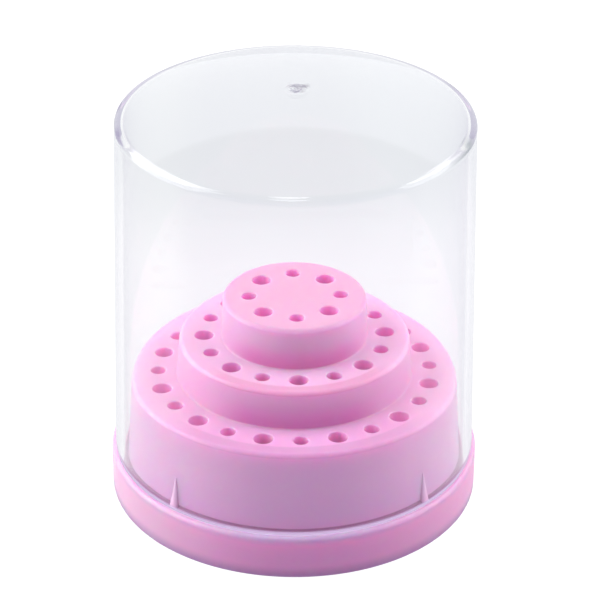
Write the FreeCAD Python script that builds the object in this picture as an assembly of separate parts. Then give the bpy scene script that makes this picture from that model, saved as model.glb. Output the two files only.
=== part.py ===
import FreeCAD, Part
import math
import os

# Round bur stand: a one-piece moulded stand with three stepped tiers of sockets,
# under a one-piece clear dust cover that lifts straight off.
# The stand is written as its foot and three tiers, which meet face to face. The upper tier is in
# eight equal sectors and the other two in four, divided between sockets.
# Millimetres. Origin: centre of the base's underside. +Z up, towards the cover's top.
# Sockets are laid out from the front (-Y), and the front has a socket of each tier on it.

# ---- flange (the foot that the cover stands on)
FLANGE_R = 33.35           # outer radius
FLANGE_TOP_Z = 8.24        # height of the ledge
FLANGE_TOP_ROUND = 0.8
FLANGE_FOOT_ROUND = 0.45

# ---- tiers: height of each deck, radius of each wall at its deck and at its foot
TIERS = {
    "top": {"deck_z": 38.21, "deck_r": 12.88, "foot_r": 13.05},
    "middle": {"deck_z": 30.35, "deck_r": 20.72, "foot_r": 21.20},
    "bottom": {"deck_z": 23.19, "deck_r": 29.42, "foot_r": 30.38},
}
TIER_EDGE_ROUND = 0.8      # rounded rim of each deck
TIER_FOOT_ROUND = 0.35     # small hollow round where a wall meets the deck below

# ---- sockets: two shank sizes, taken in turn round each ring
LARGE_R = 1.70             # for the 3.2 mm shank
SMALL_R = 1.35             # for the 2.35 mm shank
LEAD_IN = 0.18             # chamfered mouth
SOCKET_DEPTH = 13.0
RINGS = {
    # ring radius, number of sockets, True where the front one is a large one
    "top": {"r": 8.19, "n": 8, "front_large": False},
    "middle": {"r": 16.24, "n": 16, "front_large": True},
    "bottom": {"r": 24.58, "n": 24, "front_large": False},
}

# ---- hollow underside
WALL = 1.9                 # walls and decks
TUBE_WALL = 1.0            # wall of each socket's tube
TUBE_FLOOR = 1.2           # closed end of each tube
WEB = 1.2                  # web from each tube to the wall outside it

# ---- where the moulding is divided into its foot and tiers, on the flats just outside each wall's foot
SPLIT_TOP = 13.50
SPLIT_MIDDLE = 21.65
SPLIT_FOOT = 31.12

# ---- guide ribs on the bottom tier's wall, which centre the cover
RIB_ANGLES = (45.0, 135.0, 225.0, 315.0)
RIB_HALF_WIDTH = 0.64
RIB_TIP = 0.06
RIB_HEIGHT = 5.6

# ---- dust cover
COVER_RIM_Z = 8.27         # it stands on the ledge
COVER_RIM_R = 32.70        # outer radius at the rim
COVER_TOP_R = 31.22        # outer radius at the shoulder
COVER_SHOULDER_Z = 72.77
COVER_TOP_Z = 78.07        # middle of the domed top
COVER_WALL = 1.50
COVER_TOP_WALL = 1.60
COVER_SHOULDER_ROUND = 1.40
COVER_INNER_ROUND = 0.90
COVER_RIM_ROUND = 0.40
GATE_DIMPLE_R = 2.2        # shallow dimple in the middle of the top
GATE_DIMPLE_DEPTH = 0.35
GATE_STUB_R = 0.85         # stub left in it where the moulding was cut off
GATE_STUB_H = 0.55


def V(x, y, z):
    return FreeCAD.Vector(x, y, z)


def revolve(points):
    """Closed outline of (r, z) points, turned once round the Z axis."""
    wire = Part.makePolygon([V(r, 0, z) for r, z in points + points[:1]])
    return Part.Face(wire).revolve(V(0, 0, 0), V(0, 0, 1), 360)


def ring_edges(shape, rings, tol=0.03):
    """Circular edges of a turned shape at the given (r, z) corners."""
    found = []
    for e in shape.Edges:
        if e.Degenerated:
            continue
        c = e.Curve
        if isinstance(c, Part.Circle) and abs(c.Center.x) < 1e-6 and abs(c.Center.y) < 1e-6:
            for r, z in rings:
                if abs(c.Radius - r) < tol and abs(c.Center.z - z) < tol:
                    found.append(e)
    return found


def round_rings(shape, size, rings):
    return shape.makeFillet(size, ring_edges(shape, rings))


def front_angle(k, n):
    """Direction of socket k of n, counted from the front, in radians from +X."""
    return math.radians(-90.0 + 360.0 * k / n)


# ------------------------------------------------------------------ stand
T, M, B = TIERS["top"], TIERS["middle"], TIERS["bottom"]

outside = [
    (0, 0), (FLANGE_R, 0), (FLANGE_R, FLANGE_TOP_Z),
    (B["foot_r"], FLANGE_TOP_Z), (B["deck_r"], B["deck_z"]),
    (M["foot_r"], B["deck_z"]), (M["deck_r"], M["deck_z"]),
    (T["foot_r"], M["deck_z"]), (T["deck_r"], T["deck_z"]),
    (0, T["deck_z"]),
]
body = revolve(outside)
body = round_rings(body, FLANGE_FOOT_ROUND, [(FLANGE_R, 0)])
body = round_rings(body, FLANGE_TOP_ROUND, [(FLANGE_R, FLANGE_TOP_Z)])
body = round_rings(body, TIER_EDGE_ROUND, [(t["deck_r"], t["deck_z"]) for t in (T, M, B)])
body = round_rings(body, TIER_FOOT_ROUND, [
    (B["foot_r"], FLANGE_TOP_Z), (M["foot_r"], B["deck_z"]), (T["foot_r"], M["deck_z"]),
])

hollow = revolve([
    (0, -1), (FLANGE_R - WALL, -1), (FLANGE_R - WALL - 0.15, FLANGE_TOP_Z - WALL),
    (B["foot_r"] - WALL, FLANGE_TOP_Z - WALL), (B["deck_r"] - WALL, B["deck_z"] - WALL),
    (M["foot_r"] - WALL, B["deck_z"] - WALL), (M["deck_r"] - WALL, M["deck_z"] - WALL),
    (T["foot_r"] - WALL, M["deck_z"] - WALL), (T["deck_r"] - WALL, T["deck_z"] - WALL),
    (0, T["deck_z"] - WALL),
])
body = body.cut(hollow)

additions, cutters = [], []
BELOW = {"top": M["deck_z"], "middle": B["deck_z"], "bottom": FLANGE_TOP_Z}
for name, ring in RINGS.items():
    tier = TIERS[name]
    deck = tier["deck_z"]
    for k in range(ring["n"]):
        large = (k % 2 == 0) == ring["front_large"]
        bore = LARGE_R if large else SMALL_R
        a = front_angle(k, ring["n"])
        x, y = ring["r"] * math.cos(a), ring["r"] * math.sin(a)

        # tube with a closed end, hanging from the deck
        tube_r = bore + TUBE_WALL
        tube_low = deck - SOCKET_DEPTH - TUBE_FLOOR
        tube = Part.makeCylinder(tube_r, deck - 1.0 - tube_low, V(x, y, tube_low))
        additions.append(tube)

        # web from the tube out to the tier's wall
        web_low = max(tube_low + 1.0, BELOW[name] - WALL + 0.2)
        web_high = deck - 1.0
        reach = tier["deck_r"] - WALL * 0.5 - ring["r"]
        web = Part.makeBox(reach, WEB, web_high - web_low, V(0, -WEB / 2, web_low))
        web.rotate(V(0, 0, 0), V(0, 0, 1), math.degrees(a))
        web.translate(V(x, y, 0))
        additions.append(web)

        # the socket itself, with its chamfered mouth
        q = LEAD_IN
        low = deck - SOCKET_DEPTH
        edges = [
            Part.LineSegment(V(0, 0, low), V(bore - 0.25, 0, low)).toShape(),
            Part.LineSegment(V(bore - 0.25, 0, low), V(bore, 0, low + 0.25)).toShape(),
            Part.LineSegment(V(bore, 0, low + 0.25), V(bore, 0, deck - q)).toShape(),
            Part.LineSegment(V(bore, 0, deck - q), V(bore + q, 0, deck)).toShape(),
            Part.LineSegment(V(bore + q, 0, deck), V(bore + q, 0, deck + 1)).toShape(),
            Part.LineSegment(V(bore + q, 0, deck + 1), V(0, 0, deck + 1)).toShape(),
            Part.LineSegment(V(0, 0, deck + 1), V(0, 0, low)).toShape(),
        ]
        cutter = Part.Face(Part.Wire(edges)).revolve(V(0, 0, 0), V(0, 0, 1), 360)
        cutter.translate(V(x, y, 0))
        cutters.append(cutter)

# guide ribs: slim upright cones half sunk in the wall, running out to a point
lean = (B["foot_r"] - B["deck_r"]) / (B["deck_z"] - FLANGE_TOP_Z)
for angle in RIB_ANGLES:
    a = math.radians(angle)
    r0 = B["foot_r"] + 0.01
    foot = V(r0 * math.cos(a), r0 * math.sin(a), FLANGE_TOP_Z - 0.2)
    up = V(-lean * math.cos(a), -lean * math.sin(a), 1)
    additions.append(Part.makeCone(RIB_HALF_WIDTH, RIB_TIP, RIB_HEIGHT + 0.2, foot, up))

body = body.multiFuse(additions)
body = body.cut(cutters)
body = body.removeSplitter()


def ring_between(inner, outer):
    """The part of the moulding between two radii."""
    tool = Part.makeCylinder(outer, 60, V(0, 0, -5))
    if inner:
        tool = tool.cut(Part.makeCylinder(inner, 60, V(0, 0, -5)))
    return body.common(tool)


def sectors(ring, n, parts):
    """A tier of n sockets in equal sectors, each cut made midway between two sockets."""
    found = []
    for k in range(parts):
        half = Part.Face(Part.makePolygon([V(0, 0, -10), V(60, 0, -10), V(60, 0, 70), V(0, 0, 70), V(0, 0, -10)]))
        wedge = half.revolve(V(0, 0, 0), V(0, 0, 1), 360.0 / parts)
        wedge.rotate(V(0, 0, 0), V(0, 0, 1), -90.0 + 180.0 / n + 360.0 / parts * k)
        found += ring.common(wedge).Solids
    return Part.makeCompound(found)


stand = {
    "stand_upper_tier": sectors(ring_between(0, SPLIT_TOP), RINGS["top"]["n"], 8),
    "stand_middle_tier": sectors(ring_between(SPLIT_TOP, SPLIT_MIDDLE), RINGS["middle"]["n"], 4),
    "stand_lower_tier": sectors(ring_between(SPLIT_MIDDLE, SPLIT_FOOT), RINGS["bottom"]["n"], 4),
    "stand_foot": ring_between(SPLIT_FOOT, FLANGE_R + 1).Solids[0],
}
print("whole stand", round(body.Volume / 1000, 4), "in its rings", round(sum(s.Volume for s in stand.values()) / 1000, 4))

# ------------------------------------------------------------------ dust cover
# half-section: tapered wall, and a top domed to one sphere outside and one inside
rise = COVER_TOP_Z - COVER_SHOULDER_Z
SPHERE_R = (COVER_TOP_R ** 2 + rise ** 2) / (2 * rise)
sphere_z = COVER_TOP_Z - SPHERE_R
taper = (COVER_RIM_R - COVER_TOP_R) / (COVER_SHOULDER_Z - COVER_RIM_Z)
DOME_IN_R = SPHERE_R - COVER_TOP_WALL


def wall_meets_dome(r_rim, radius):
    """Where a wall that is r_rim wide at the rim runs into a dome of this radius."""
    low, high = COVER_RIM_Z, COVER_TOP_Z
    for _ in range(60):
        z = (low + high) / 2
        r = r_rim - taper * (z - COVER_RIM_Z)
        if math.hypot(r, z - sphere_z) < radius:
            low = z
        else:
            high = z
    return r, z


def dome_point(radius, r):
    return V(r, 0, sphere_z + math.sqrt(radius ** 2 - r ** 2))


ro, zo = wall_meets_dome(COVER_RIM_R, SPHERE_R)
ri, zi = wall_meets_dome(COVER_RIM_R - COVER_WALL, DOME_IN_R)
section = [
    Part.LineSegment(V(COVER_RIM_R - COVER_WALL, 0, COVER_RIM_Z), V(COVER_RIM_R, 0, COVER_RIM_Z)).toShape(),
    Part.LineSegment(V(COVER_RIM_R, 0, COVER_RIM_Z), V(ro, 0, zo)).toShape(),
    Part.Arc(V(ro, 0, zo), dome_point(SPHERE_R, ro / 2), V(0, 0, COVER_TOP_Z)).toShape(),
    Part.LineSegment(V(0, 0, COVER_TOP_Z), V(0, 0, COVER_TOP_Z - COVER_TOP_WALL)).toShape(),
    Part.Arc(V(0, 0, COVER_TOP_Z - COVER_TOP_WALL), dome_point(DOME_IN_R, ri / 2), V(ri, 0, zi)).toShape(),
    Part.LineSegment(V(ri, 0, zi), V(COVER_RIM_R - COVER_WALL, 0, COVER_RIM_Z)).toShape(),
]
cover = Part.Face(Part.Wire(section)).revolve(V(0, 0, 0), V(0, 0, 1), 360)
cover = round_rings(cover, COVER_SHOULDER_ROUND, [(ro, zo)])
cover = round_rings(cover, COVER_INNER_ROUND, [(ri, zi)])
cover = round_rings(cover, COVER_RIM_ROUND, [(COVER_RIM_R, COVER_RIM_Z), (COVER_RIM_R - COVER_WALL, COVER_RIM_Z)])
dimple_z = COVER_TOP_Z - GATE_DIMPLE_DEPTH
cover = cover.cut(Part.makeCylinder(GATE_DIMPLE_R, 3, V(0, 0, dimple_z)))
cover = cover.fuse(Part.makeCone(GATE_STUB_R, GATE_STUB_R * 0.8, GATE_STUB_H + 0.3, V(0, 0, dimple_z - 0.3)))
cover = cover.removeSplitter()
cover = cover.Solids[0] if len(cover.Solids) == 1 else cover

# ------------------------------------------------------------------ write
os.makedirs("parts", exist_ok=True)
for name, shape in list(stand.items()) + [("dust_cover", cover)]:
    shape.exportStep("parts/" + name + ".step")
    box = shape.BoundBox
    print(name, "solids", len(shape.Solids), "valid", shape.isValid(),
          "volume_cm3", round(shape.Volume / 1000, 3),
          "x", round(box.XMin, 3), round(box.XMax, 3), "z", round(box.ZMin, 3), round(box.ZMax, 3))
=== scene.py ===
import math

import bpy
import numpy as np
from mathutils import Matrix, Vector


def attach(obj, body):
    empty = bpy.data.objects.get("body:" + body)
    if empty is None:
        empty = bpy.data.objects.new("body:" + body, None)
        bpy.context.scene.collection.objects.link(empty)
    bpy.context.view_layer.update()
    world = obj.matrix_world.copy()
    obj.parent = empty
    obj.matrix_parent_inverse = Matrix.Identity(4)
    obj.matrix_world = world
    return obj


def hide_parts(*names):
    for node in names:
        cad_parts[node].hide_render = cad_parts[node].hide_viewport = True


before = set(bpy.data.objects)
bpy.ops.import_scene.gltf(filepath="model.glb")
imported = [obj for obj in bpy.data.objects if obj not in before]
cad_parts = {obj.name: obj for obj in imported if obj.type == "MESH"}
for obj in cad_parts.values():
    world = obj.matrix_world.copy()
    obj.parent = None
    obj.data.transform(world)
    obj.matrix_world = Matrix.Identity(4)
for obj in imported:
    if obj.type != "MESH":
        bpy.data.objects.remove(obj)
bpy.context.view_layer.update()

MM = 0.001
scene = bpy.context.scene


# ---------------------------------------------------------------- camera
# Placed from the socket rings, deck rims and outline: tilt, roll and framing of the photograph.
CAM_F_PX, CAM_D, CAM_TILT, CAM_ROLL = 2505.0, 465.6, 29.27, 0.45
CAM_SX, CAM_SY, CAM_Z, CAM_TURN = 1.83, 31.83, -0.33, -3.0

tilt, roll = math.radians(CAM_TILT), math.radians(CAM_ROLL)
back = Vector((0, -math.cos(tilt), math.sin(tilt)))
right = Vector((1, 0, 0))
up = back.cross(right)
cam_x = math.cos(roll) * right + math.sin(roll) * up
cam_y = -math.sin(roll) * right + math.cos(roll) * up
place = (back * CAM_D + cam_x * CAM_SX + cam_y * CAM_SY + Vector((0, 0, CAM_Z))) * MM
turn = Matrix.Rotation(math.radians(CAM_TURN), 4, "Z")
pose = Matrix((
    (cam_x.x, cam_y.x, back.x, place.x),
    (cam_x.y, cam_y.y, back.y, place.y),
    (cam_x.z, cam_y.z, back.z, place.z),
    (0, 0, 0, 1),
))
cam_data = bpy.data.cameras.new("camera")
cam_data.sensor_width = 36.0
cam_data.lens = CAM_F_PX * 36.0 / 607.0
cam_data.clip_start, cam_data.clip_end = 0.01, 50.0
cam = bpy.data.objects.new("camera", cam_data)
cam.matrix_world = turn @ pose
scene.collection.objects.link(cam)
scene.camera = cam


# ---------------------------------------------------------------- node helpers
class Tree:
    """Short names for building a node tree."""

    def __init__(self, tree):
        self.t = tree
        self.n = tree.nodes
        self.n.clear()

    def add(self, kind, **props):
        node = self.n.new(kind)
        for key, value in props.items():
            setattr(node, key, value)
        return node

    def link(self, a, b):
        self.t.links.new(a, b)

    def feed(self, socket, value):
        if hasattr(value, "is_linked") or isinstance(value, bpy.types.NodeSocket):
            self.link(value, socket)
        else:
            socket.default_value = value

    def math(self, op, a, b=None, c=None, clamp=False):
        m = self.add("ShaderNodeMath", operation=op, use_clamp=clamp)
        self.feed(m.inputs[0], a)
        if b is not None:
            self.feed(m.inputs[1], b)
        if c is not None:
            self.feed(m.inputs[2], c)
        return m.outputs[0]

    def ramp(self, value, lo, hi, out_lo=0.0, out_hi=1.0, kind="SMOOTHSTEP"):
        m = self.add("ShaderNodeMapRange", interpolation_type=kind)
        self.feed(m.inputs["Value"], value)
        self.feed(m.inputs["From Min"], lo)
        self.feed(m.inputs["From Max"], hi)
        self.feed(m.inputs["To Min"], out_lo)
        self.feed(m.inputs["To Max"], out_hi)
        return m.outputs["Result"]

    def mix_color(self, factor, a, b, blend="MIX"):
        m = self.add("ShaderNodeMix", data_type="RGBA", blend_type=blend)
        self.feed(m.inputs[0], factor)
        self.feed(m.inputs[6], a)
        self.feed(m.inputs[7], b)
        return m.outputs[2]

    def noise(self, vector, scale, detail=2.0, rough=0.5, distortion=0.0):
        m = self.add("ShaderNodeTexNoise")
        self.feed(m.inputs["Vector"], vector)
        m.inputs["Scale"].default_value = scale
        m.inputs["Detail"].default_value = detail
        m.inputs["Roughness"].default_value = rough
        m.inputs["Distortion"].default_value = distortion
        return m.outputs[0]


def new_material(name):
    mat = bpy.data.materials.new(name)
    mat.use_nodes = True
    return mat, Tree(mat.node_tree)


# ---------------------------------------------------------------- light
world = bpy.data.worlds.new("studio")
scene.world = world
world.use_nodes = True
w = Tree(world.node_tree)
tc = w.add("ShaderNodeTexCoord")
xyz = w.add("ShaderNodeSeparateXYZ")
w.link(tc.outputs["Generated"], xyz.inputs[0])
dx, dy, dz = xyz.outputs
paths = w.add("ShaderNodeLightPath")
gloss_ray, clear_ray = paths.outputs["Is Glossy Ray"], paths.outputs["Is Transmission Ray"]


def soft_box(x_from, low, high, front_edge, back_edge):
    """Mask of a large soft box on one side: all in direction cosines."""
    inside = w.math("MULTIPLY", w.ramp(dz, low, low + 0.06), w.ramp(dz, high, high + 0.06, 1.0, 0.0))
    depth = w.math("MULTIPLY", w.ramp(dy, front_edge, front_edge + 0.10), w.ramp(dy, back_edge, back_edge + 0.10, 1.0, 0.0))
    reach = w.ramp(w.math("MULTIPLY", dx, 1.0 if x_from > 0 else -1.0), abs(x_from), abs(x_from) + 0.07)
    return w.math("MULTIPLY", reach, w.math("MULTIPLY", inside, depth))


# white backdrop behind, dark room on the camera's side, soft boxes high on both sides, one large soft box overhead
front = w.ramp(w.math("MULTIPLY", dy, -1.0), -0.10, 0.28)
high_up = w.ramp(dz, 0.645, 0.675)
overhead = w.ramp(dz, 0.82, 0.88)
lit_boxes = (soft_box(-0.50, 0.16, 0.80, -0.42, 0.52), soft_box(0.50, 0.16, 0.80, -0.38, 0.52))
mirror_boxes = (soft_box(-0.50, 0.16, 0.78, -0.34, 0.52), soft_box(0.50, 0.33, 0.62, -0.26, 0.50))
# one small lamp overhead, a little to the left
lx = w.math("POWER", w.math("DIVIDE", w.math("ADD", dx, 0.05), 0.13), 2.0)
ly = w.math("POWER", w.math("DIVIDE", w.math("SUBTRACT", dy, -0.25), 0.22), 2.0)
spot = w.math("MULTIPLY", w.ramp(w.math("ADD", lx, ly), 0.7, 1.3, 1.0, 0.0), w.ramp(dz, 0.5, 0.6))


def room(boxes, back, front_wall, ceiling, front_ceiling, top_box, left, right, lamp):
    """One room's light: each value is a colour."""
    full = lambda rgb: tuple(rgb) + (1,)
    sky = w.mix_color(high_up, w.mix_color(front, full(back), full(front_wall)), w.mix_color(front, full(ceiling), full(front_ceiling)))
    if top_box:
        sky = w.mix_color(overhead, sky, full(top_box))
    sky = w.mix_color(boxes[0], sky, full(left))
    sky = w.mix_color(boxes[1], sky, full(right))
    return w.mix_color(spot, sky, full(lamp)) if lamp else sky


# light on the plastic, its mirror image, and what shows through the cover
LIT = ((1.25, 1.28, 1.12), (0.03, 0.03, 0.10), (0.28, 0.26, 0.28), (0.03, 0.03, 0.04), (1.00, 0.75, 0.90), (5.25, 5.60, 4.95), (4.40, 4.25, 4.00), None)
MIRROR = ((1.16, 1.18, 1.21), (0.16, 0.16, 0.24), (0.60, 0.62, 0.60), (0.08, 0.08, 0.11), None, (5.0, 5.0, 5.0), (3.4, 3.4, 3.4), (5.0, 5.0, 5.0))
THROUGH = ((1.02, 1.02, 1.02), (0.62, 0.60, 0.84), (0.85, 0.85, 0.88), (0.50, 0.50, 0.58), None, (4.3, 4.3, 4.3), (3.7, 3.7, 3.7), (4.5, 4.5, 4.5))
seen = w.mix_color(clear_ray, w.mix_color(gloss_ray, room(lit_boxes, *LIT), room(mirror_boxes, *MIRROR)), room(mirror_boxes, *THROUGH))
seen = w.mix_color(paths.outputs["Is Camera Ray"], seen, (1.1, 1.1, 1.1, 1))
bg = w.add("ShaderNodeBackground")
w.link(seen, bg.inputs["Color"])
bg.inputs["Strength"].default_value = 1.0
out = w.add("ShaderNodeOutputWorld")
w.link(bg.outputs[0], out.inputs["Surface"])

# pale floor, lit through from below like a light table
fm, f = new_material("floor")
ftc = f.add("ShaderNodeTexCoord")
fxyz = f.add("ShaderNodeSeparateXYZ")
f.link(ftc.outputs["Object"], fxyz.inputs[0])
fpaths = f.add("ShaderNodeLightPath")
fall = f.ramp(f.math("MULTIPLY", fxyz.outputs[1], -1.0), 0.048, 0.095)
diff = f.add("ShaderNodeBsdfDiffuse")
diff.inputs["Color"].default_value = (0.12, 0.12, 0.12, 1)
glow = f.add("ShaderNodeEmission")
dim = f.mix_color(fall, (0.30, 0.36, 0.45, 1), (0.80, 0.56, 0.95, 1))
shine = f.mix_color(f.ramp(f.math("MULTIPLY", fxyz.outputs[1], -1.0), 0.030, 0.075), (0.80, 0.83, 0.85, 1), (0.26, 0.25, 0.36, 1))
dim = f.mix_color(fpaths.outputs["Is Glossy Ray"], dim, shine)
far = f.mix_color(f.ramp(fxyz.outputs[1], 0.078, 0.125), (0.925, 0.900, 0.945, 1), (0.765, 0.775, 0.810, 1))
far = f.mix_color(f.ramp(fxyz.outputs[0], -0.034, -0.014), f.mix_color(1.0, far, (1.060, 1.070, 1.035, 1), "MULTIPLY"), far)
far = f.mix_color(f.ramp(fxyz.outputs[0], 0.014, 0.034), far, f.mix_color(1.0, far, (1.035, 1.045, 1.035, 1), "MULTIPLY"))
dim = f.mix_color(fpaths.outputs["Is Transmission Ray"], dim, far)
dim = f.mix_color(fpaths.outputs["Is Camera Ray"], dim, (1.0, 1.0, 1.0, 1))
f.link(dim, glow.inputs["Color"])
glow.inputs["Strength"].default_value = 1.0
both = f.add("ShaderNodeAddShader")
f.link(diff.outputs[0], both.inputs[0])
f.link(glow.outputs[0], both.inputs[1])
# nothing is hidden from below
fgeo = f.add("ShaderNodeNewGeometry")
below_it = f.add("ShaderNodeBsdfTransparent")
one_sided = f.add("ShaderNodeMixShader")
f.link(fgeo.outputs["Backfacing"], one_sided.inputs[0])
f.link(both.outputs[0], one_sided.inputs[1])
f.link(below_it.outputs[0], one_sided.inputs[2])
fo = f.add("ShaderNodeOutputMaterial")
f.link(one_sided.outputs[0], fo.inputs["Surface"])
mesh = bpy.data.meshes.new("floor")
n, R = 96, 3.0
ring = [(R * math.cos(2 * math.pi * i / n), R * math.sin(2 * math.pi * i / n), -0.00002) for i in range(n)]
mesh.from_pydata(ring, [], [list(range(n))])
floor = bpy.data.objects.new("floor", mesh)
floor.data.materials.append(fm)
scene.collection.objects.link(floor)


# ---------------------------------------------------------------- stand: opaque pink plastic
sm, s = new_material("pink_plastic")
geo = s.add("ShaderNodeNewGeometry")
tex = s.add("ShaderNodeTexCoord")
obj_co = tex.outputs["Object"]
cloud = s.noise(obj_co, 60.0, 3.0, 0.55)
speck = s.noise(obj_co, 900.0, 2.0, 0.6)
tone = s.mix_color(s.ramp(cloud, 0.30, 0.70, kind="LINEAR"), (0.905, 0.432, 0.710, 1), (0.922, 0.452, 0.730, 1))
# painted shade: low on the two upper walls and inside the sockets the colour is painted deeper and more saturated, in
# place of the shade and pink bounced light there
sxyz = s.add("ShaderNodeSeparateXYZ")
s.link(obj_co, sxyz.inputs[0])
sx, sy, sz = sxyz.outputs
sr = s.math("SQRT", s.math("ADD", s.math("MULTIPLY", sx, sx), s.math("MULTIPLY", sy, sy)))


def both_of(a, b):
    return s.math("MULTIPLY", a, b)


def within(value, low, high, soft=0.3):
    up = s.ramp(value, (low - soft) * MM, (low + soft) * MM)
    down = s.ramp(value, (high - soft) * MM, (high + soft) * MM, 1.0, 0.0)
    return both_of(up, down)


low_wall = both_of(within(sz, 30.6, 60.0, 0.15), both_of(s.ramp(sr, 11.8 * MM, 12.2 * MM), s.ramp(sz, 30.6 * MM, 36.4 * MM, 1.0, 0.0)))
low_wall_2 = both_of(within(sz, 23.4, 30.1, 0.15), both_of(s.ramp(sr, 19.4 * MM, 19.8 * MM), s.ramp(sz, 23.4 * MM, 29.6 * MM, 1.0, 0.0)))
in_socket = both_of(s.ramp(sz, 36.9 * MM, 38.1 * MM, 1.0, 0.0), s.ramp(sr, 11.4 * MM, 11.8 * MM, 1.0, 0.0))
in_socket_2 = both_of(s.ramp(sz, 29.05 * MM, 30.25 * MM, 1.0, 0.0), s.ramp(sr, 19.0 * MM, 19.4 * MM, 1.0, 0.0))
in_socket_3 = both_of(s.ramp(sz, 21.9 * MM, 23.1 * MM, 1.0, 0.0), s.ramp(sr, 27.4 * MM, 27.8 * MM, 1.0, 0.0))
# painted light: from z 29.2 mm up, the two upper tiers are painted paler
tone = s.mix_color(s.ramp(sz, 29.2 * MM, 30.0 * MM), tone, s.mix_color(1.0, tone, (1.0, 1.09, 1.04, 1), "MULTIPLY"))
# painted shade: the top deck is painted a darker pink than the rest
tone = s.mix_color(s.ramp(sz, 37.6 * MM, 38.15 * MM), tone, (0.755, 0.382, 0.602, 1))
# painted shade masks: the upper part of the two upper walls in front, and the lowest wall towards its foot
high_wall = both_of(both_of(within(sz, 33.6, 37.4, 0.9), s.ramp(sr, 12.2 * MM, 12.6 * MM)), s.ramp(s.math("ABSOLUTE", sx), 5 * MM, 11 * MM, 1.0, 0.0))
high_wall_2 = both_of(both_of(within(sz, 26.2, 29.7, 0.9), s.ramp(sr, 20.0 * MM, 20.4 * MM)), s.ramp(s.math("ABSOLUTE", sx), 8 * MM, 18 * MM, 1.0, 0.0))
foot_wall = both_of(s.ramp(sz, 8.3 * MM, 17.5 * MM, 1.0, 0.0), both_of(s.ramp(sr, 29.2 * MM, 29.5 * MM), s.ramp(sr, 30.6 * MM, 30.8 * MM, 1.0, 0.0)))
# painted shade: these three masks darken the colour
tone = s.mix_color(high_wall, tone, s.mix_color(1.0, tone, (0.88, 1.00, 0.93, 1), "MULTIPLY"))
tone = s.mix_color(high_wall_2, tone, s.mix_color(1.0, tone, (0.88, 0.96, 0.93, 1), "MULTIPLY"))
tone = s.mix_color(foot_wall, tone, s.mix_color(1.0, tone, (0.83, 0.88, 0.975, 1), "MULTIPLY"))
# painted shade at the foot of the two upper walls, strongest in front
tone = s.mix_color(both_of(low_wall, s.ramp(s.math("ABSOLUTE", sx), 7 * MM, 12.5 * MM, 1.0, 0.4)), tone, (0.750, 0.172, 0.535, 1))
tone = s.mix_color(both_of(low_wall_2, s.ramp(s.math("ABSOLUTE", sx), 8 * MM, 16 * MM, 1.0, 0.2)), tone, (0.705, 0.150, 0.535, 1))
# painted shade: the decks' round edges are darkened in front
in_front = s.ramp(s.math("DIVIDE", s.math("MULTIPLY", sy, -1.0), sr), 0.50, 0.85)
for low, radius, shade in ((37.3, 11.70, (0.89, 0.97, 0.96, 1)), (29.45, 18.25, (0.85, 0.71, 0.76, 1)), (22.3, 26.45, (0.78, 0.79, 0.82, 1))):
    edge = both_of(s.ramp(sz, low * MM, (low + 0.3) * MM), both_of(s.ramp(sz, (low + 0.9) * MM, (low + 1.4) * MM, 1.0, 0.0), s.ramp(sr, radius * MM, (radius + 0.60) * MM)))
    tone = s.mix_color(both_of(edge, in_front), tone, s.mix_color(1.0, tone, shade, "MULTIPLY"))
# painted shade on the bottom deck in front, next to the middle wall's foot
front_deck = both_of(within(sz, 22.9, 23.6, 0.2), both_of(s.ramp(sr, 20.6 * MM, 21.2 * MM), s.ramp(sy, -22 * MM, -14 * MM, 1.0, 0.0)))
tone = s.mix_color(front_deck, tone, s.mix_color(1.0, tone, (0.95, 0.89, 0.99, 1), "MULTIPLY"))
# painted shade: the foot's outer wall is darkened by different amounts from left to right, a little in front and most
# on the right
foot_side_shade = s.mix_color(s.ramp(sx, -26 * MM, -10 * MM), (0.92, 1.0, 0.93, 1), (1.0, 0.88, 0.96, 1))
foot_side_shade = s.mix_color(s.ramp(sx, 10 * MM, 26 * MM), foot_side_shade, (0.89, 0.85, 0.885, 1))
tone = s.mix_color(s.ramp(sr, 32.9 * MM, 33.2 * MM), tone, s.mix_color(1.0, tone, foot_side_shade, "MULTIPLY"))
# painted shade: the inside of the sockets is painted a deep saturated pink
sockets = s.math("MAXIMUM", in_socket, s.math("MAXIMUM", in_socket_2, in_socket_3))
tone = s.mix_color(sockets, tone, (0.985, 0.320, 0.690, 1))
# painted shade: the narrow gap inside the cover's rim is painted dark, and the foot's lower edge carries a painted
# contact shadow
gap = both_of(within(sr, 30.25, 31.20, 0.08), both_of(s.ramp(sz, 7.9 * MM, 8.1 * MM), s.ramp(sz, 8.5 * MM, 8.8 * MM, 1.0, 0.0)))
low_edge = both_of(s.ramp(sz, 0.1 * MM, 2.6 * MM, 1.0, 0.0), s.ramp(sr, 32.0 * MM, 32.4 * MM))
# painted reflection: the foot's top round is painted a pale lavender, most in front
top_round = both_of(s.ramp(sz, 6.4 * MM, 7.9 * MM), both_of(s.ramp(sz, 8.6 * MM, 8.8 * MM, 1.0, 0.0), s.ramp(sr, 31.9 * MM, 32.3 * MM)))
tone = s.mix_color(both_of(top_round, s.ramp(s.math("ABSOLUTE", sx), 6 * MM, 22 * MM, 0.9, 0.45)), tone, (0.500, 0.420, 0.620, 1))
tone = s.mix_color(gap, tone, (0.420, 0.110, 0.360, 1))
tone = s.mix_color(s.math("MULTIPLY", low_edge, 0.85), tone, (0.430, 0.230, 0.450, 1))
fine = s.noise(obj_co, 2600.0, 2.0, 0.5)
bump = s.add("ShaderNodeBump")
bump.inputs["Strength"].default_value = 0.10
bump.inputs["Distance"].default_value = 0.00004
s.link(fine, bump.inputs["Height"])
ps = s.add("ShaderNodeBsdfPrincipled")
s.link(tone, ps.inputs["Base Color"])
s.link(s.ramp(speck, 0.3, 0.7, 0.33, 0.42, kind="LINEAR"), ps.inputs["Roughness"])
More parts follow.
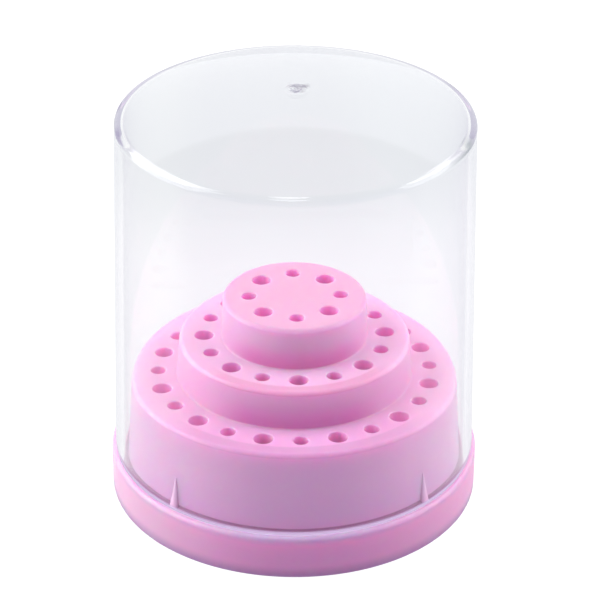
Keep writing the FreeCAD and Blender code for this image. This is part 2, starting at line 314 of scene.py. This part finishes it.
ps.inputs["IOR"].default_value = 1.55
ps.inputs["Subsurface Weight"].default_value = 1.0
ps.inputs["Subsurface Radius"].default_value = (1.0, 0.30, 0.55)
ps.inputs["Subsurface Scale"].default_value = 0.0050
# painted glow: a faint emission inside the sockets, most at the sides, stands in for light leaking in through their
# thin walls
ps.inputs["Emission Color"].default_value = (0.050, 0.026, 0.056, 1)
s.link(both_of(sockets, s.math("MAXIMUM", s.math("MULTIPLY", in_socket, 0.8), s.ramp(s.math("ABSOLUTE", sx), 6 * MM, 18 * MM, 0.0, 1.1))), ps.inputs["Emission Strength"])
s.link(bump.outputs[0], ps.inputs["Normal"])
# painted reflection: the stand's image in the cover's wall is paled, a fixed pale grey emission mixed in for glossy
# rays and for rays that have passed more than twice through the cover
spath = s.add("ShaderNodeLightPath")
pale = s.add("ShaderNodeEmission")
pale.inputs["Color"].default_value = (0.78, 0.76, 0.80, 1)
pale.inputs["Strength"].default_value = 1.0
smix = s.add("ShaderNodeMixShader")
mirrored = s.math("MULTIPLY", spath.outputs["Is Glossy Ray"], s.math("SUBTRACT", 1.0, spath.outputs["Is Transmission Ray"]))
turned_often = s.math("MULTIPLY", s.math("GREATER_THAN", spath.outputs["Ray Depth"], 2.5), spath.outputs["Is Transmission Ray"])
s.link(s.math("MAXIMUM", s.math("MULTIPLY", mirrored, 0.42), s.math("MULTIPLY", turned_often, 0.85)), smix.inputs[0])
s.link(ps.outputs[0], smix.inputs[1])
s.link(pale.outputs[0], smix.inputs[2])
so = s.add("ShaderNodeOutputMaterial")
s.link(smix.outputs[0], so.inputs["Surface"])
sm.cycles.emission_sampling = "NONE"


# ---------------------------------------------------------------- stand: one moulding
# Millimetres here. The same outline, sockets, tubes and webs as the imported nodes, in one closed skin.
FLANGE_R, LEDGE_Z = 33.35, 8.24
TIERS = (
    # deck height, wall radius at the deck, at its foot, socket ring radius, sockets, front one large
    (38.21, 12.88, 13.05, 8.19, 8, False),
    (30.35, 20.72, 21.20, 16.24, 16, True),
    (23.19, 29.42, 30.38, 24.58, 24, False),
)
LARGE_R, SMALL_R, LIP, DEPTH = 1.70, 1.35, 0.18, 13.0
SKIN, TUBE, TUBE_END, WEB = 1.9, 1.0, 1.2, 1.2
EDGE, FOOT = 0.8, 0.35
SEG = 288


class Skin:
    """Quads and triangles with the true normal at each corner, welded by position."""

    def __init__(self):
        self.points, self.index, self.faces, self.normals = [], {}, [], []

    def at(self, p):
        key = (round(p[0], 4), round(p[1], 4), round(p[2], 4))
        found = self.index.get(key)
        if found is None:
            found = self.index[key] = len(self.points)
            self.points.append(p)
        return found

    def face(self, corners):
        """corners: (point, normal) pairs, in order."""
        ids, keep = [], []
        for p, n in corners:
            i = self.at(p)
            if i not in ids:
                ids.append(i)
                keep.append(n)
        if len(ids) > 2:
            self.faces.append(ids)
            self.normals.extend(keep)

    def turn(self, row_a, row_b):
        """Quads between two rings of an outline, each (r, z, normal r, normal z)."""
        for j in range(SEG):
            c0, s0 = CIRCLE[j]
            c1, s1 = CIRCLE[(j + 1) % SEG]
            (ra, za, na, ma), (rb, zb, nb, mb) = row_a, row_b
            self.face((
                ((ra * c0, ra * s0, za), (na * c0, na * s0, ma)),
                ((rb * c0, rb * s0, zb), (nb * c0, nb * s0, mb)),
                ((rb * c1, rb * s1, zb), (nb * c1, nb * s1, mb)),
                ((ra * c1, ra * s1, za), (na * c1, na * s1, ma)),
            ))

    def outline(self, rows):
        for a, b in zip(rows, rows[1:]):
            if (a[0], a[1]) != (b[0], b[1]):
                self.turn(a, b)

    def deck(self, r_in, r_out, z, ring_r, n, sides, wells, facing):
        """A flat ring with n wells in it. wells[k] lists (radius, z, normal out, normal up) rows down to the well's end."""
        m = SEG // n
        for k in range(n):
            first = SEG * (-90) // 360 + k * m - m // 2
            last = first + m
            a = math.radians(-90 + 360 * k / n)
            cx, cy = ring_r * math.cos(a), ring_r * math.sin(a)
            loop = [(r_out * CIRCLE[j % SEG][0], r_out * CIRCLE[j % SEG][1]) for j in range(first, last + 1)]
            for i in range(1, sides):
                r = r_out + (r_in - r_out) * i / sides
                loop.append((r * CIRCLE[last % SEG][0], r * CIRCLE[last % SEG][1]))
            loop += [(r_in * CIRCLE[j % SEG][0], r_in * CIRCLE[j % SEG][1]) for j in range(last, first - 1, -1)]
            for i in range(1, sides):
                r = r_in + (r_out - r_in) * i / sides
                loop.append((r * CIRCLE[first % SEG][0], r * CIRCLE[first % SEG][1]))
            turns = [math.atan2(y - cy, x - cx) for x, y in loop]
            dirs = [(math.cos(t), math.sin(t)) for t in turns]
            well = wells[k % 2]
            mouth = well[0][0]
            flat = (0.0, 0.0, float(facing))
            rings = []
            for t in (1.0, 0.55, 0.2, 0.0):
                rings.append([(
                    (cx + mouth * d[0]) * (1 - t) + p[0] * t, (cy + mouth * d[1]) * (1 - t) + p[1] * t, z) for d, p in zip(dirs, loop)])
            norms = [[flat] * len(loop)] * 4
            for r, zz, no, nu in well[1:] if well[0][1] == z and well[0][2] == 0 else well:
                rings.append([(cx + r * d[0], cy + r * d[1], zz) for d in dirs])
                norms.append([(no * d[0], no * d[1], nu) for d in dirs])
            count = len(loop)
            for i in range(len(rings) - 1):
                outer, inner = rings[i], rings[i + 1]
                # a repeated ring with new normals is a crease
                if outer[0] == inner[0]:
                    continue
                no_, ni_ = norms[i], norms[i + 1]
                for j in range(count):
                    q = (j + 1) % count
                    quad = ((inner[j], ni_[j]), (outer[j], no_[j]), (outer[q], no_[q]), (inner[q], ni_[q]))
                    self.face(quad if facing > 0 else quad[::-1])

    def box(self, low, high):
        """Closed block from four bottom points and four top points, counter-clockwise seen from above."""
        sides = [(low[3], low[2], low[1], low[0]), (high[0], high[1], high[2], high[3])]
        for i in range(4):
            j = (i + 1) % 4
            sides.append((low[i], low[j], high[j], high[i]))
        for s in sides:
            n = (Vector(s[1]) - Vector(s[0])).cross(Vector(s[2]) - Vector(s[1])).normalized()
            self.face([(p, tuple(n)) for p in s])


CIRCLE = [(math.cos(2 * math.pi * j / SEG), math.sin(2 * math.pi * j / SEG)) for j in range(SEG)]


def bend_rows(centre_r, centre_z, rad, a0, a1, n, outward=1):
    """Rows of a round between two directions, in degrees from +r. outward is -1 in a hollow corner."""
    rows = []
    for i in range(n + 1):
        a = math.radians(a0 + (a1 - a0) * i / n)
        rows.append((centre_r + rad * math.cos(a), centre_z + rad * math.sin(a), outward * math.cos(a), outward * math.sin(a)))
    return rows


def socket_rows(bore, z):
    low = z - DEPTH
    rows = [(bore + LIP, z, 0.0, 1.0)]
    for i in range(1, 5):
        a = math.radians(90 + 22.5 * i)
        rows.append((bore + LIP + LIP * math.cos(a), z - LIP + LIP * math.sin(a), math.cos(a), math.sin(a)))
    rows += [(bore, z - 4.0, -1, 0), (bore, low + 0.25, -1, 0), (bore, low + 0.25, -0.7, 0.7), (bore - 0.25, low, -0.7, 0.7), (bore - 0.25, low, 0, 1), (0.0, low, 0, 1)]
    return rows


def tube_rows(tube, under, z):
    low = z - DEPTH - TUBE_END
    return [(tube, under, 0, -1), (tube, under, 1, 0), (tube, low, 1, 0), (tube, low, 0, -1), (0.0, low, 0, -1)]


skin = Skin()
rows = [(0.0, TIERS[0][0], 0, 1), (1.2, TIERS[0][0], 0, 1), (3.4, TIERS[0][0], 0, 1)]
r_in = 3.4
SIDES = (9, 8, 8)
for i, (z, deck_r, foot_r, ring_r, n, front_large) in enumerate(TIERS):
    below = TIERS[i + 1][0] if i < 2 else LEDGE_Z
    lean = math.atan2(foot_r - deck_r, z - below)
    tilt_up = math.degrees(lean)
    # the deck's round edge touches the deck and the leaning wall
    edge_r = deck_r + EDGE * math.tan(lean) - EDGE / math.cos(lean)
    bores = [LARGE_R if (k % 2 == 0) == front_large else SMALL_R for k in range(2)]
    skin.outline(rows)
    skin.deck(r_in, edge_r, z, ring_r, n, SIDES[i], [socket_rows(b, z) for b in bores], 1)
    rows = bend_rows(edge_r, z - EDGE, EDGE, 90, tilt_up, 9)
    foot_c = foot_r - FOOT * math.tan(lean) + FOOT / math.cos(lean)
    top_row, wall_n = rows[-1], (math.cos(lean), math.sin(lean))
    bottom = (foot_c - FOOT * math.cos(lean), below + FOOT - FOOT * math.sin(lean))
    for t in (0.25, 0.5, 0.75):
        rows.append((top_row[0] + (bottom[0] - top_row[0]) * t, top_row[1] + (bottom[1] - top_row[1]) * t, wall_n[0], wall_n[1]))
    rows += bend_rows(foot_c, below + FOOT, FOOT, 180 + tilt_up, 270, 5, -1)
    r_in = foot_c
    if i < 2:
        skin.outline(rows)
        rows = []
rows.append((31.2, LEDGE_Z, 0, 1))
rows += bend_rows(FLANGE_R - 0.8, LEDGE_Z - 0.8, 0.8, 90, 0, 9)
rows += [(FLANGE_R, 4.0, 1, 0)]
rows += bend_rows(FLANGE_R - 0.45, 0.45, 0.45, 0, -90, 6)
rows += [(FLANGE_R - SKIN, 0, 0, -1), (FLANGE_R - SKIN, 0, -1, 0), (FLANGE_R - SKIN - 0.15, LEDGE_Z - SKIN, -1, 0), (FLANGE_R - SKIN - 0.15, LEDGE_Z - SKIN, 0, -1)]
for i in (2, 1, 0):
    z, deck_r, foot_r, ring_r, n, front_large = TIERS[i]
    below = TIERS[i + 1][0] if i < 2 else LEDGE_Z
    under = z - SKIN
    rows += [(foot_r - SKIN, below - SKIN, 0, -1), (foot_r - SKIN, below - SKIN, -1, 0), (deck_r - SKIN, under, -1, 0), (deck_r - SKIN, under, 0, -1)]
    skin.outline(rows)
    tubes = [min((LARGE_R if (k % 2 == 0) == front_large else SMALL_R) + TUBE, 2.5 if i == 1 else 3.0) for k in range(2)]
    inner_r = TIERS[i - 1][2] - SKIN if i else 3.4
    skin.deck(inner_r, deck_r - SKIN, under, ring_r, n, SIDES[i], [tube_rows(t, under, z) for t in tubes], -1)
    rows = [(inner_r, under, 0, -1)] if i else [(3.4, under, 0, -1), (1.2, under, 0, -1), (0.0, under, 0, -1)]
    # a web from each tube out to the wall
    web_low = max(z - DEPTH - TUBE_END + 1.0, below - SKIN + 0.2)
    slope = (foot_r - deck_r) / (z - below)
    for k in range(n):
        a = math.radians(-90 + 360 * k / n)
        ux, uy = math.cos(a), math.sin(a)
        r0 = ring_r + tubes[k % 2] - 0.15

        def corner(r, side, zz):
            return (r * ux - side * WEB / 2 * uy, r * uy + side * WEB / 2 * ux, zz)

        ends = [deck_r - SKIN + slope * (under - zz) + 0.12 for zz in (web_low, under)]
        skin.box(
            [corner(r0, -1, web_low), corner(ends[0], -1, web_low), corner(ends[0], 1, web_low), corner(r0, 1, web_low)],
            [corner(r0, -1, under + 0.05), corner(ends[1], -1, under + 0.05), corner(ends[1], 1, under + 0.05), corner(r0, 1, under + 0.05)],
        )
skin.outline(rows)

# guide ribs on the lowest wall: slim cones half sunk in it
z, deck_r, foot_r = TIERS[2][:3]
slope = (foot_r - deck_r) / (z - LEDGE_Z)
ribs = Skin()
for angle in (45, 135, 225, 315):
    a = math.radians(angle)
    ux, uy = math.cos(a), math.sin(a)
    levels = [(-0.1, 0.64), (1.9, 0.42), (3.8, 0.235), (4.9, 0.13), (5.5, 0.07)]
    for (h0, w0), (h1, w1) in zip(levels, levels[1:]):
        for j in range(24):
            def rib(h, w, t):
                r = foot_r + 0.01 - slope * h
                c, s = math.cos(t), math.sin(t)
                wide, nc = 1.5 * s, 1.5 * c
                return ((r * ux + w * (c * ux - wide * uy), r * uy + w * (c * uy + wide * ux), LEDGE_Z + h), (nc * ux - s * uy, nc * uy + s * ux, 0.1))
            t0, t1 = 2 * math.pi * j / 24, 2 * math.pi * (j + 1) / 24
            ribs.face([rib(h1, w1, t0), rib(h0, w0, t0), rib(h0, w0, t1), rib(h1, w1, t1)])
    top, base = [], []
    for j in range(24):
        t = 2 * math.pi * j / 24
        for ring, h, w, nz in ((top, 5.5, 0.07, 1), (base, -0.1, 0.64, -1)):
            r = foot_r + 0.01 - slope * h
            c, s = math.cos(t), 1.5 * math.sin(t)
            ring.append(((r * ux + w * (c * ux - s * uy), r * uy + w * (c * uy + s * ux), LEDGE_Z + h), (0, 0, nz)))
    ribs.face(top)
    ribs.face(base[::-1])


def skin_object(name, made, material):
    data = bpy.data.meshes.new(name)
    data.from_pydata([(x * MM, y * MM, z * MM) for x, y, z in made.points], [], made.faces)
    data.polygons.foreach_set("use_smooth", [True] * len(data.polygons))
    data.update()
    data.normals_split_custom_set([Vector(n).normalized() for n in made.normals])
    obj = bpy.data.objects.new(name, data)
    scene.collection.objects.link(obj)
    obj.data.materials.append(material)
    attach(obj, "stand")
    return obj


stand = skin_object("stand_moulding", skin, sm)
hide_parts(*[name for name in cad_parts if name.startswith("stand_")])
rm = sm.copy()
rm.name = "pink_plastic_thin"
for node in rm.node_tree.nodes:
    if node.type == "BSDF_PRINCIPLED":
        node.inputs["Subsurface Weight"].default_value = 0.0
        thin = node
# painted light and shade: the ribs' side away from the middle is painted pale and the other side dark, as if lit from
# the side
rib_x = rm.node_tree.nodes.new("ShaderNodeSeparateXYZ")
rib_co = rm.node_tree.nodes.new("ShaderNodeTexCoord")
rib_abs = rm.node_tree.nodes.new("ShaderNodeMath")
rib_abs.operation = "ABSOLUTE"
rib_side = rm.node_tree.nodes.new("ShaderNodeMapRange")
rib_side.interpolation_type = "SMOOTHSTEP"
rib_side.inputs["From Min"].default_value = 20.85 * MM
rib_side.inputs["From Max"].default_value = 21.30 * MM
rib_tone = rm.node_tree.nodes.new("ShaderNodeMix")
rib_tone.data_type = "RGBA"
rib_tone.inputs[6].default_value = (0.720, 0.320, 0.600, 1)
rib_tone.inputs[7].default_value = (0.990, 0.600, 0.900, 1)
for a, b in ((rib_co.outputs["Object"], rib_x.inputs[0]), (rib_x.outputs[0], rib_abs.inputs[0]), (rib_abs.outputs[0], rib_side.inputs["Value"]),
             (rib_side.outputs["Result"], rib_tone.inputs[0]), (rib_tone.outputs[2], thin.inputs["Base Color"])):
    rm.node_tree.links.new(a, b)
skin_object("guide_ribs", ribs, rm)


# ---------------------------------------------------------------- cover: clear moulded cup
RIM_Z, RIM_R, TOP_R, SHOULDER_Z, TOP_Z = 8.27, 32.70, 31.22, 72.77, 78.07
WALL, TOP_WALL = 1.50, 1.60
OUT_ROUND, IN_ROUND, RIM_ROUND = 1.40, 0.90, 0.40
DIMPLE_R, DIMPLE_DEPTH = 2.2, 0.35

rise = TOP_Z - SHOULDER_Z
SPHERE = (TOP_R ** 2 + rise ** 2) / (2 * rise)
sphere_z = TOP_Z - SPHERE
taper = (RIM_R - TOP_R) / (SHOULDER_Z - RIM_Z)


def shoulder(r_rim, ball, rnd):
    """Centre of the round between the wall and the dome, and its two ends, all inside the corner."""
    lean = math.atan(taper)
    # wall line: r = r_rim - taper*(z - RIM_Z); inward offset by rnd
    shift = rnd / math.cos(lean)
    lo, hi = RIM_Z, TOP_Z
    for _ in range(80):
        z = (lo + hi) / 2
        r = r_rim - taper * (z - RIM_Z) - shift
        if math.hypot(r, z - sphere_z) < ball - rnd:
            lo = z
        else:
            hi = z
    start = lean                      # normal of the wall, from +r towards +z
    end = math.atan2(z - sphere_z, r)  # normal of the dome there
    return r, z, start, end


def arc(cr, cz, rad, a0, a1, n):
    return [(cr + rad * math.cos(a0 + (a1 - a0) * i / n), cz + rad * math.sin(a0 + (a1 - a0) * i / n)) for i in range(n + 1)]


def wall_points(r_rim, z0, z1, n):
    return [(r_rim - taper * (z0 + (z1 - z0) * i / n - RIM_Z), z0 + (z1 - z0) * i / n) for i in range(n + 1)]


def dome_points(ball, r0, r1, n):
    pts = []
    for i in range(n + 1):
        r = r0 + (r1 - r0) * i / n
        pts.append((r, sphere_z + math.sqrt(ball * ball - r * r)))
    return pts


outer = []
# rim, from the inside corner out
ri, ro = RIM_R - WALL, RIM_R
outer += arc(ri + RIM_ROUND, RIM_Z + RIM_ROUND, RIM_ROUND, math.pi, 1.5 * math.pi, 6)
outer += arc(ro - RIM_ROUND, RIM_Z + RIM_ROUND, RIM_ROUND, 1.5 * math.pi, 2 * math.pi, 6)
cr, cz, a0, a1 = shoulder(ro, SPHERE, OUT_ROUND)
outer += wall_points(ro, RIM_Z + RIM_ROUND + 0.3, cz + OUT_ROUND * math.sin(a0) - 0.3, 30)
outer += arc(cr, cz, OUT_ROUND, a0, a1, 12)
r_end = cr + OUT_ROUND * math.cos(a1)
outer += dome_points(SPHERE, r_end - 0.3, 2.6, 26)
# gate: a shallow dish with a low broken stub in it
top = lambda r: sphere_z + math.sqrt(SPHERE ** 2 - r * r)
GATE = ((2.30, 0.0), (2.20, 0.003), (2.10, 0.010), (1.98, 0.024), (1.84, 0.040), (1.66, 0.053), (1.45, 0.058), (1.25, 0.055), (1.08, 0.045),
        (0.96, 0.028), (0.88, 0.006), (0.80, -0.016), (0.70, -0.028), (0.56, -0.033), (0.40, -0.026), (0.25, -0.018), (0.12, -0.016))
outer += [(r, top(r) - d) for r, d in GATE]
inner = []
cr2, cz2, b0, b1 = shoulder(ri, SPHERE - TOP_WALL, IN_ROUND)
r_end2 = cr2 + IN_ROUND * math.cos(b1)
inner += dome_points(SPHERE - TOP_WALL, 0.9, r_end2 - 0.3, 26)
inner += arc(cr2, cz2, IN_ROUND, b1, b0, 10)
inner += wall_points(ri, cz2 + IN_ROUND * math.sin(b0) - 0.3, RIM_Z + RIM_ROUND + 0.3, 30)


def turned(name, loop_a, loop_b, seg):
    """Closed shell: loop_a ends at the outer pole, loop_b starts at the inner pole and ends at the rim's first point."""
    verts, faces = [], []
    rows = loop_a
    for r, z in rows:
        for k in range(seg):
            a = 2 * math.pi * k / seg
            verts.append((r * math.cos(a), r * math.sin(a), z))
    pole_out = len(verts)
    verts.append((0, 0, rows[-1][1]))
    first_in = len(verts)
    for r, z in loop_b:
        for k in range(seg):
            a = 2 * math.pi * k / seg
            verts.append((r * math.cos(a), r * math.sin(a), z))
    pole_in = len(verts)
    verts.append((0, 0, sphere_z + SPHERE - TOP_WALL))
    na, nb = len(loop_a), len(loop_b)
    for i in range(na - 1):
        for k in range(seg):
            k2 = (k + 1) % seg
            faces.append((i * seg + k, i * seg + k2, (i + 1) * seg + k2, (i + 1) * seg + k))
    for k in range(seg):
        faces.append(((na - 1) * seg + k, (na - 1) * seg + (k + 1) % seg, pole_out))
    for k in range(seg):
        faces.append((first_in + (k + 1) % seg, first_in + k, pole_in))
    for i in range(nb - 1):
        a, b = first_in + i * seg, first_in + (i + 1) * seg
        for k in range(seg):
            k2 = (k + 1) % seg
            faces.append((a + k, a + k2, b + k2, b + k))
    last = first_in + (nb - 1) * seg
    for k in range(seg):
        k2 = (k + 1) % seg
        faces.append((last + k, last + k2, k2, k))
    return np.array(verts), faces


verts, faces = turned("dust_cover", outer, inner, 240)

# the broken gate stub is rough: uneven height and outline, and its dish isn't quite even
rr = np.hypot(verts[:, 0], verts[:, 1])
ang = np.arctan2(verts[:, 1], verts[:, 0])
gate = (rr < 2.25) & (verts[:, 2] > TOP_Z - 0.5)
stub = gate & (rr < 1.12)
bend = 0.10 * np.sin(3 * ang + 0.6) + 0.07 * np.sin(7 * ang + 2.1) + 0.05 * np.sin(13 * ang)
verts[stub, 0] *= 1 + 0.6 * bend[stub]
verts[stub, 1] *= 1 + 0.6 * bend[stub]
rough = 0.020 * np.sin(5 * ang + 9 * rr) + 0.016 * np.sin(9 * ang - 14 * rr + 1.0) + 0.012 * np.sin(17 * ang + 21 * rr)
verts[gate, 2] += (rough * np.clip((2.25 - rr) / 0.9, 0, 1) * np.clip(rr / 0.3, 0, 1))[gate]

mesh = bpy.data.meshes.new("clear_cover")
mesh.from_pydata([tuple(v) for v in (verts * MM).tolist()], [], faces)
mesh.polygons.foreach_set("use_smooth", [True] * len(mesh.polygons))
mesh.update()
cover = bpy.data.objects.new("clear_cover", mesh)
scene.collection.objects.link(cover)

cm, c = new_material("clear_plastic")
ctex = c.add("ShaderNodeTexCoord")
wave = c.noise(ctex.outputs["Object"], 38.0, 2.0, 0.45, 0.6)
cb = c.add("ShaderNodeBump")
cb.inputs["Strength"].default_value = 0.010
cb.inputs["Distance"].default_value = 0.0002
c.link(wave, cb.inputs["Height"])
pc = c.add("ShaderNodeBsdfPrincipled")
smear = c.noise(ctex.outputs["Object"], 120.0, 4.0, 0.6)
c.link(c.ramp(smear, 0.35, 0.75, 0.0, 0.035, kind="LINEAR"), pc.inputs["Roughness"])
haze = c.noise(ctex.outputs["Object"], 25.0, 2.0, 0.5)
c.link(c.mix_color(c.ramp(haze, 0.3, 0.7, kind="LINEAR"), (0.928, 0.936, 0.944, 1), (0.942, 0.950, 0.957, 1)), pc.inputs["Base Color"])
pc.inputs["IOR"].default_value = 1.48
pc.inputs["Specular IOR Level"].default_value = 0.42
pc.inputs["Transmission Weight"].default_value = 1.0
c.link(cb.outputs[0], pc.inputs["Normal"])
# painted glow: an emission at the rim's edge, pale lavender and weaker on its flat face, stands in for light that has
# run down inside the wall and comes out there; rays deep inside the cover are painted grey further down
cz = c.add("ShaderNodeSeparateXYZ")
c.link(ctex.outputs["Object"], cz.inputs[0])
rim_glow = c.add("ShaderNodeEmission")
rim_glow.inputs["Color"].default_value = (0.72, 0.52, 0.84, 1)
rim_glow.inputs["Strength"].default_value = 1.0
cr = c.math("SQRT", c.math("ADD", c.math("MULTIPLY", cz.outputs[0], cz.outputs[0]), c.math("MULTIPLY", cz.outputs[1], cz.outputs[1])))
flat_part = c.math("MULTIPLY", c.ramp(cr, (RIM_R - WALL + 0.30) * MM, (RIM_R - WALL + 0.50) * MM), c.ramp(cr, (RIM_R - 0.50) * MM, (RIM_R - 0.30) * MM, 1.0, 0.0))
at_rim = c.math("MULTIPLY", c.ramp(cz.outputs[2], (RIM_Z + 0.20) * MM, (RIM_Z + 0.50) * MM, 1.0, 0.0), c.math("SUBTRACT", 0.68, c.math("MULTIPLY", flat_part, 0.42)))
rimmed = c.add("ShaderNodeMixShader")
c.link(at_rim, rimmed.inputs[0])
c.link(pc.outputs[0], rimmed.inputs[1])
c.link(rim_glow.outputs[0], rimmed.inputs[2])
# painted shade: a dark grey emission over the gate, strong in a band at its back and faint over its front, with a
# noise-ragged outline, stands in for the shade in the dish
chips = c.math("SUBTRACT", c.noise(ctex.outputs["Object"], 1500.0, 2.0, 0.6), 0.5)
gx = c.math("ABSOLUTE", c.math("ADD", cz.outputs[0], c.math("MULTIPLY_ADD", chips, 0.0008, -0.0006)))
gy = c.math("ADD", cz.outputs[1], c.math("MULTIPLY", chips, 0.0024))
on_top = c.ramp(cz.outputs[2], (TOP_Z - 0.9) * MM, (TOP_Z - 0.7) * MM)
back_band = c.math("MULTIPLY", c.math("MULTIPLY", c.ramp(gy, 0.00040, 0.00100), c.ramp(gy, 0.00160, 0.00215, 1.0, 0.0)), c.ramp(gx, 0.00085, 0.00225, 1.0, 0.0))
front_part = c.math("MULTIPLY", c.math("MULTIPLY", c.ramp(gy, -0.0014, -0.0006), c.ramp(gy, 0.0006, 0.0009, 1.0, 0.0)), c.ramp(gx, 0.0006, 0.0013, 1.0, 0.0))
gate_shade_mask = c.math("MULTIPLY", on_top, c.math("ADD", c.math("MULTIPLY", back_band, 0.60), c.math("MULTIPLY", front_part, 0.20)))
gate_shade_paint = c.add("ShaderNodeEmission")
gate_shade_paint.inputs["Color"].default_value = (0.27, 0.24, 0.33, 1)
gate_shade_paint.inputs["Strength"].default_value = 1.0
marked = c.add("ShaderNodeMixShader")
c.link(gate_shade_mask, marked.inputs[0])
c.link(rimmed.outputs[0], marked.inputs[1])
c.link(gate_shade_paint.outputs[0], marked.inputs[2])
# painted shade: dark emission patches on the shoulder's round, seen from outside, narrow to a point at each side
side = c.math("DIVIDE", cz.outputs[0], cr)
lift = c.math("DIVIDE", c.math("SUBTRACT", cz.outputs[2], 71.763 * MM), 1.4 * MM)
cgeo = c.add("ShaderNodeNewGeometry")
outside = c.math("SUBTRACT", 1.0, cgeo.outputs["Backfacing"])
on_round = c.math("MULTIPLY", outside, c.ramp(cr, 29.6 * MM, 29.9 * MM))
narrow = c.ramp(side, -0.985, -0.932, 0.0, 0.36, kind="LINEAR")
left_reach = c.math("MULTIPLY", c.ramp(side, -0.958, -0.930, 1.0, 0.0), c.ramp(side, -0.999, -0.985))
right_reach = c.math("MULTIPLY", c.ramp(side, 0.790, 0.930), c.ramp(side, 0.950, 0.990, 1.0, 0.15))
left_reach = c.math("MULTIPLY", left_reach, c.math("MULTIPLY", c.ramp(c.math("SUBTRACT", lift, narrow), 0.02, 0.30), c.ramp(c.math("ADD", lift, narrow), 0.72, 0.99, 1.0, 0.1)))
right_reach = c.math("MULTIPLY", right_reach, c.ramp(lift, 0.02, 0.30))
right_reach = c.math("MULTIPLY", right_reach, c.math("MAXIMUM", c.ramp(lift, 0.30, 0.75, 1.0, 0.0), c.math("MULTIPLY", c.ramp(side, 0.880, 0.930), c.ramp(lift, 0.70, 0.97, 0.95, 0.35))))
tips = c.math("MULTIPLY", on_round, c.math("ADD", c.math("MULTIPLY", left_reach, 0.75), c.math("MULTIPLY", right_reach, 0.62)))
tip = c.add("ShaderNodeEmission")
c.link(c.mix_color(c.ramp(side, -0.2, 0.2), (0.40, 0.36, 0.53, 1), c.mix_color(c.ramp(side, 0.92, 0.97), (0.24, 0.28, 0.31, 1), (0.46, 0.42, 0.58, 1))), tip.inputs["Color"])
tip.inputs["Strength"].default_value = 1.0
tipped = c.add("ShaderNodeMixShader")
c.link(tips, tipped.inputs[0])
c.link(marked.outputs[0], tipped.inputs[1])
c.link(tip.outputs[0], tipped.inputs[2])
# painted light: rays that have turned more than three times inside the cover end in a fixed lavender grey emission in
# place of further reflections
lp = c.add("ShaderNodeLightPath")
spent = c.add("ShaderNodeEmission")
spent.inputs["Color"].default_value = (0.56, 0.54, 0.66, 1)
spent.inputs["Strength"].default_value = 1.0
deep_ray_grey_mix = c.add("ShaderNodeMixShader")
c.link(c.math("GREATER_THAN", lp.outputs["Ray Depth"], 3.5), deep_ray_grey_mix.inputs[0])
c.link(tipped.outputs[0], deep_ray_grey_mix.inputs[1])
c.link(spent.outputs[0], deep_ray_grey_mix.inputs[2])
clear = c.add("ShaderNodeBsdfTransparent")
clear.inputs["Color"].default_value = (0.975, 0.975, 0.98, 1)
lets = c.math("MAXIMUM", lp.outputs["Is Shadow Ray"], lp.outputs["Is Diffuse Ray"])
mx = c.add("ShaderNodeMixShader")
c.link(lets, mx.inputs[0])
c.link(deep_ray_grey_mix.outputs[0], mx.inputs[1])
c.link(clear.outputs[0], mx.inputs[2])
co = c.add("ShaderNodeOutputMaterial")
c.link(mx.outputs[0], co.inputs["Surface"])
cm.cycles.emission_sampling = "NONE"
cover.data.materials.append(cm)
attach(cover, "cover")
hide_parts("dust_cover")

# ---------------------------------------------------------------- colour
scene.view_settings.view_transform = "Standard"
scene.view_settings.look = "None"
scene.view_settings.exposure = 0.0
scene.view_settings.gamma = 1.0
scene.cycles.use_denoising = True
scene.cycles.max_bounces = 40
scene.cycles.glossy_bounces = 32
scene.cycles.transmission_bounces = 32
scene.cycles.transparent_max_bounces = 16
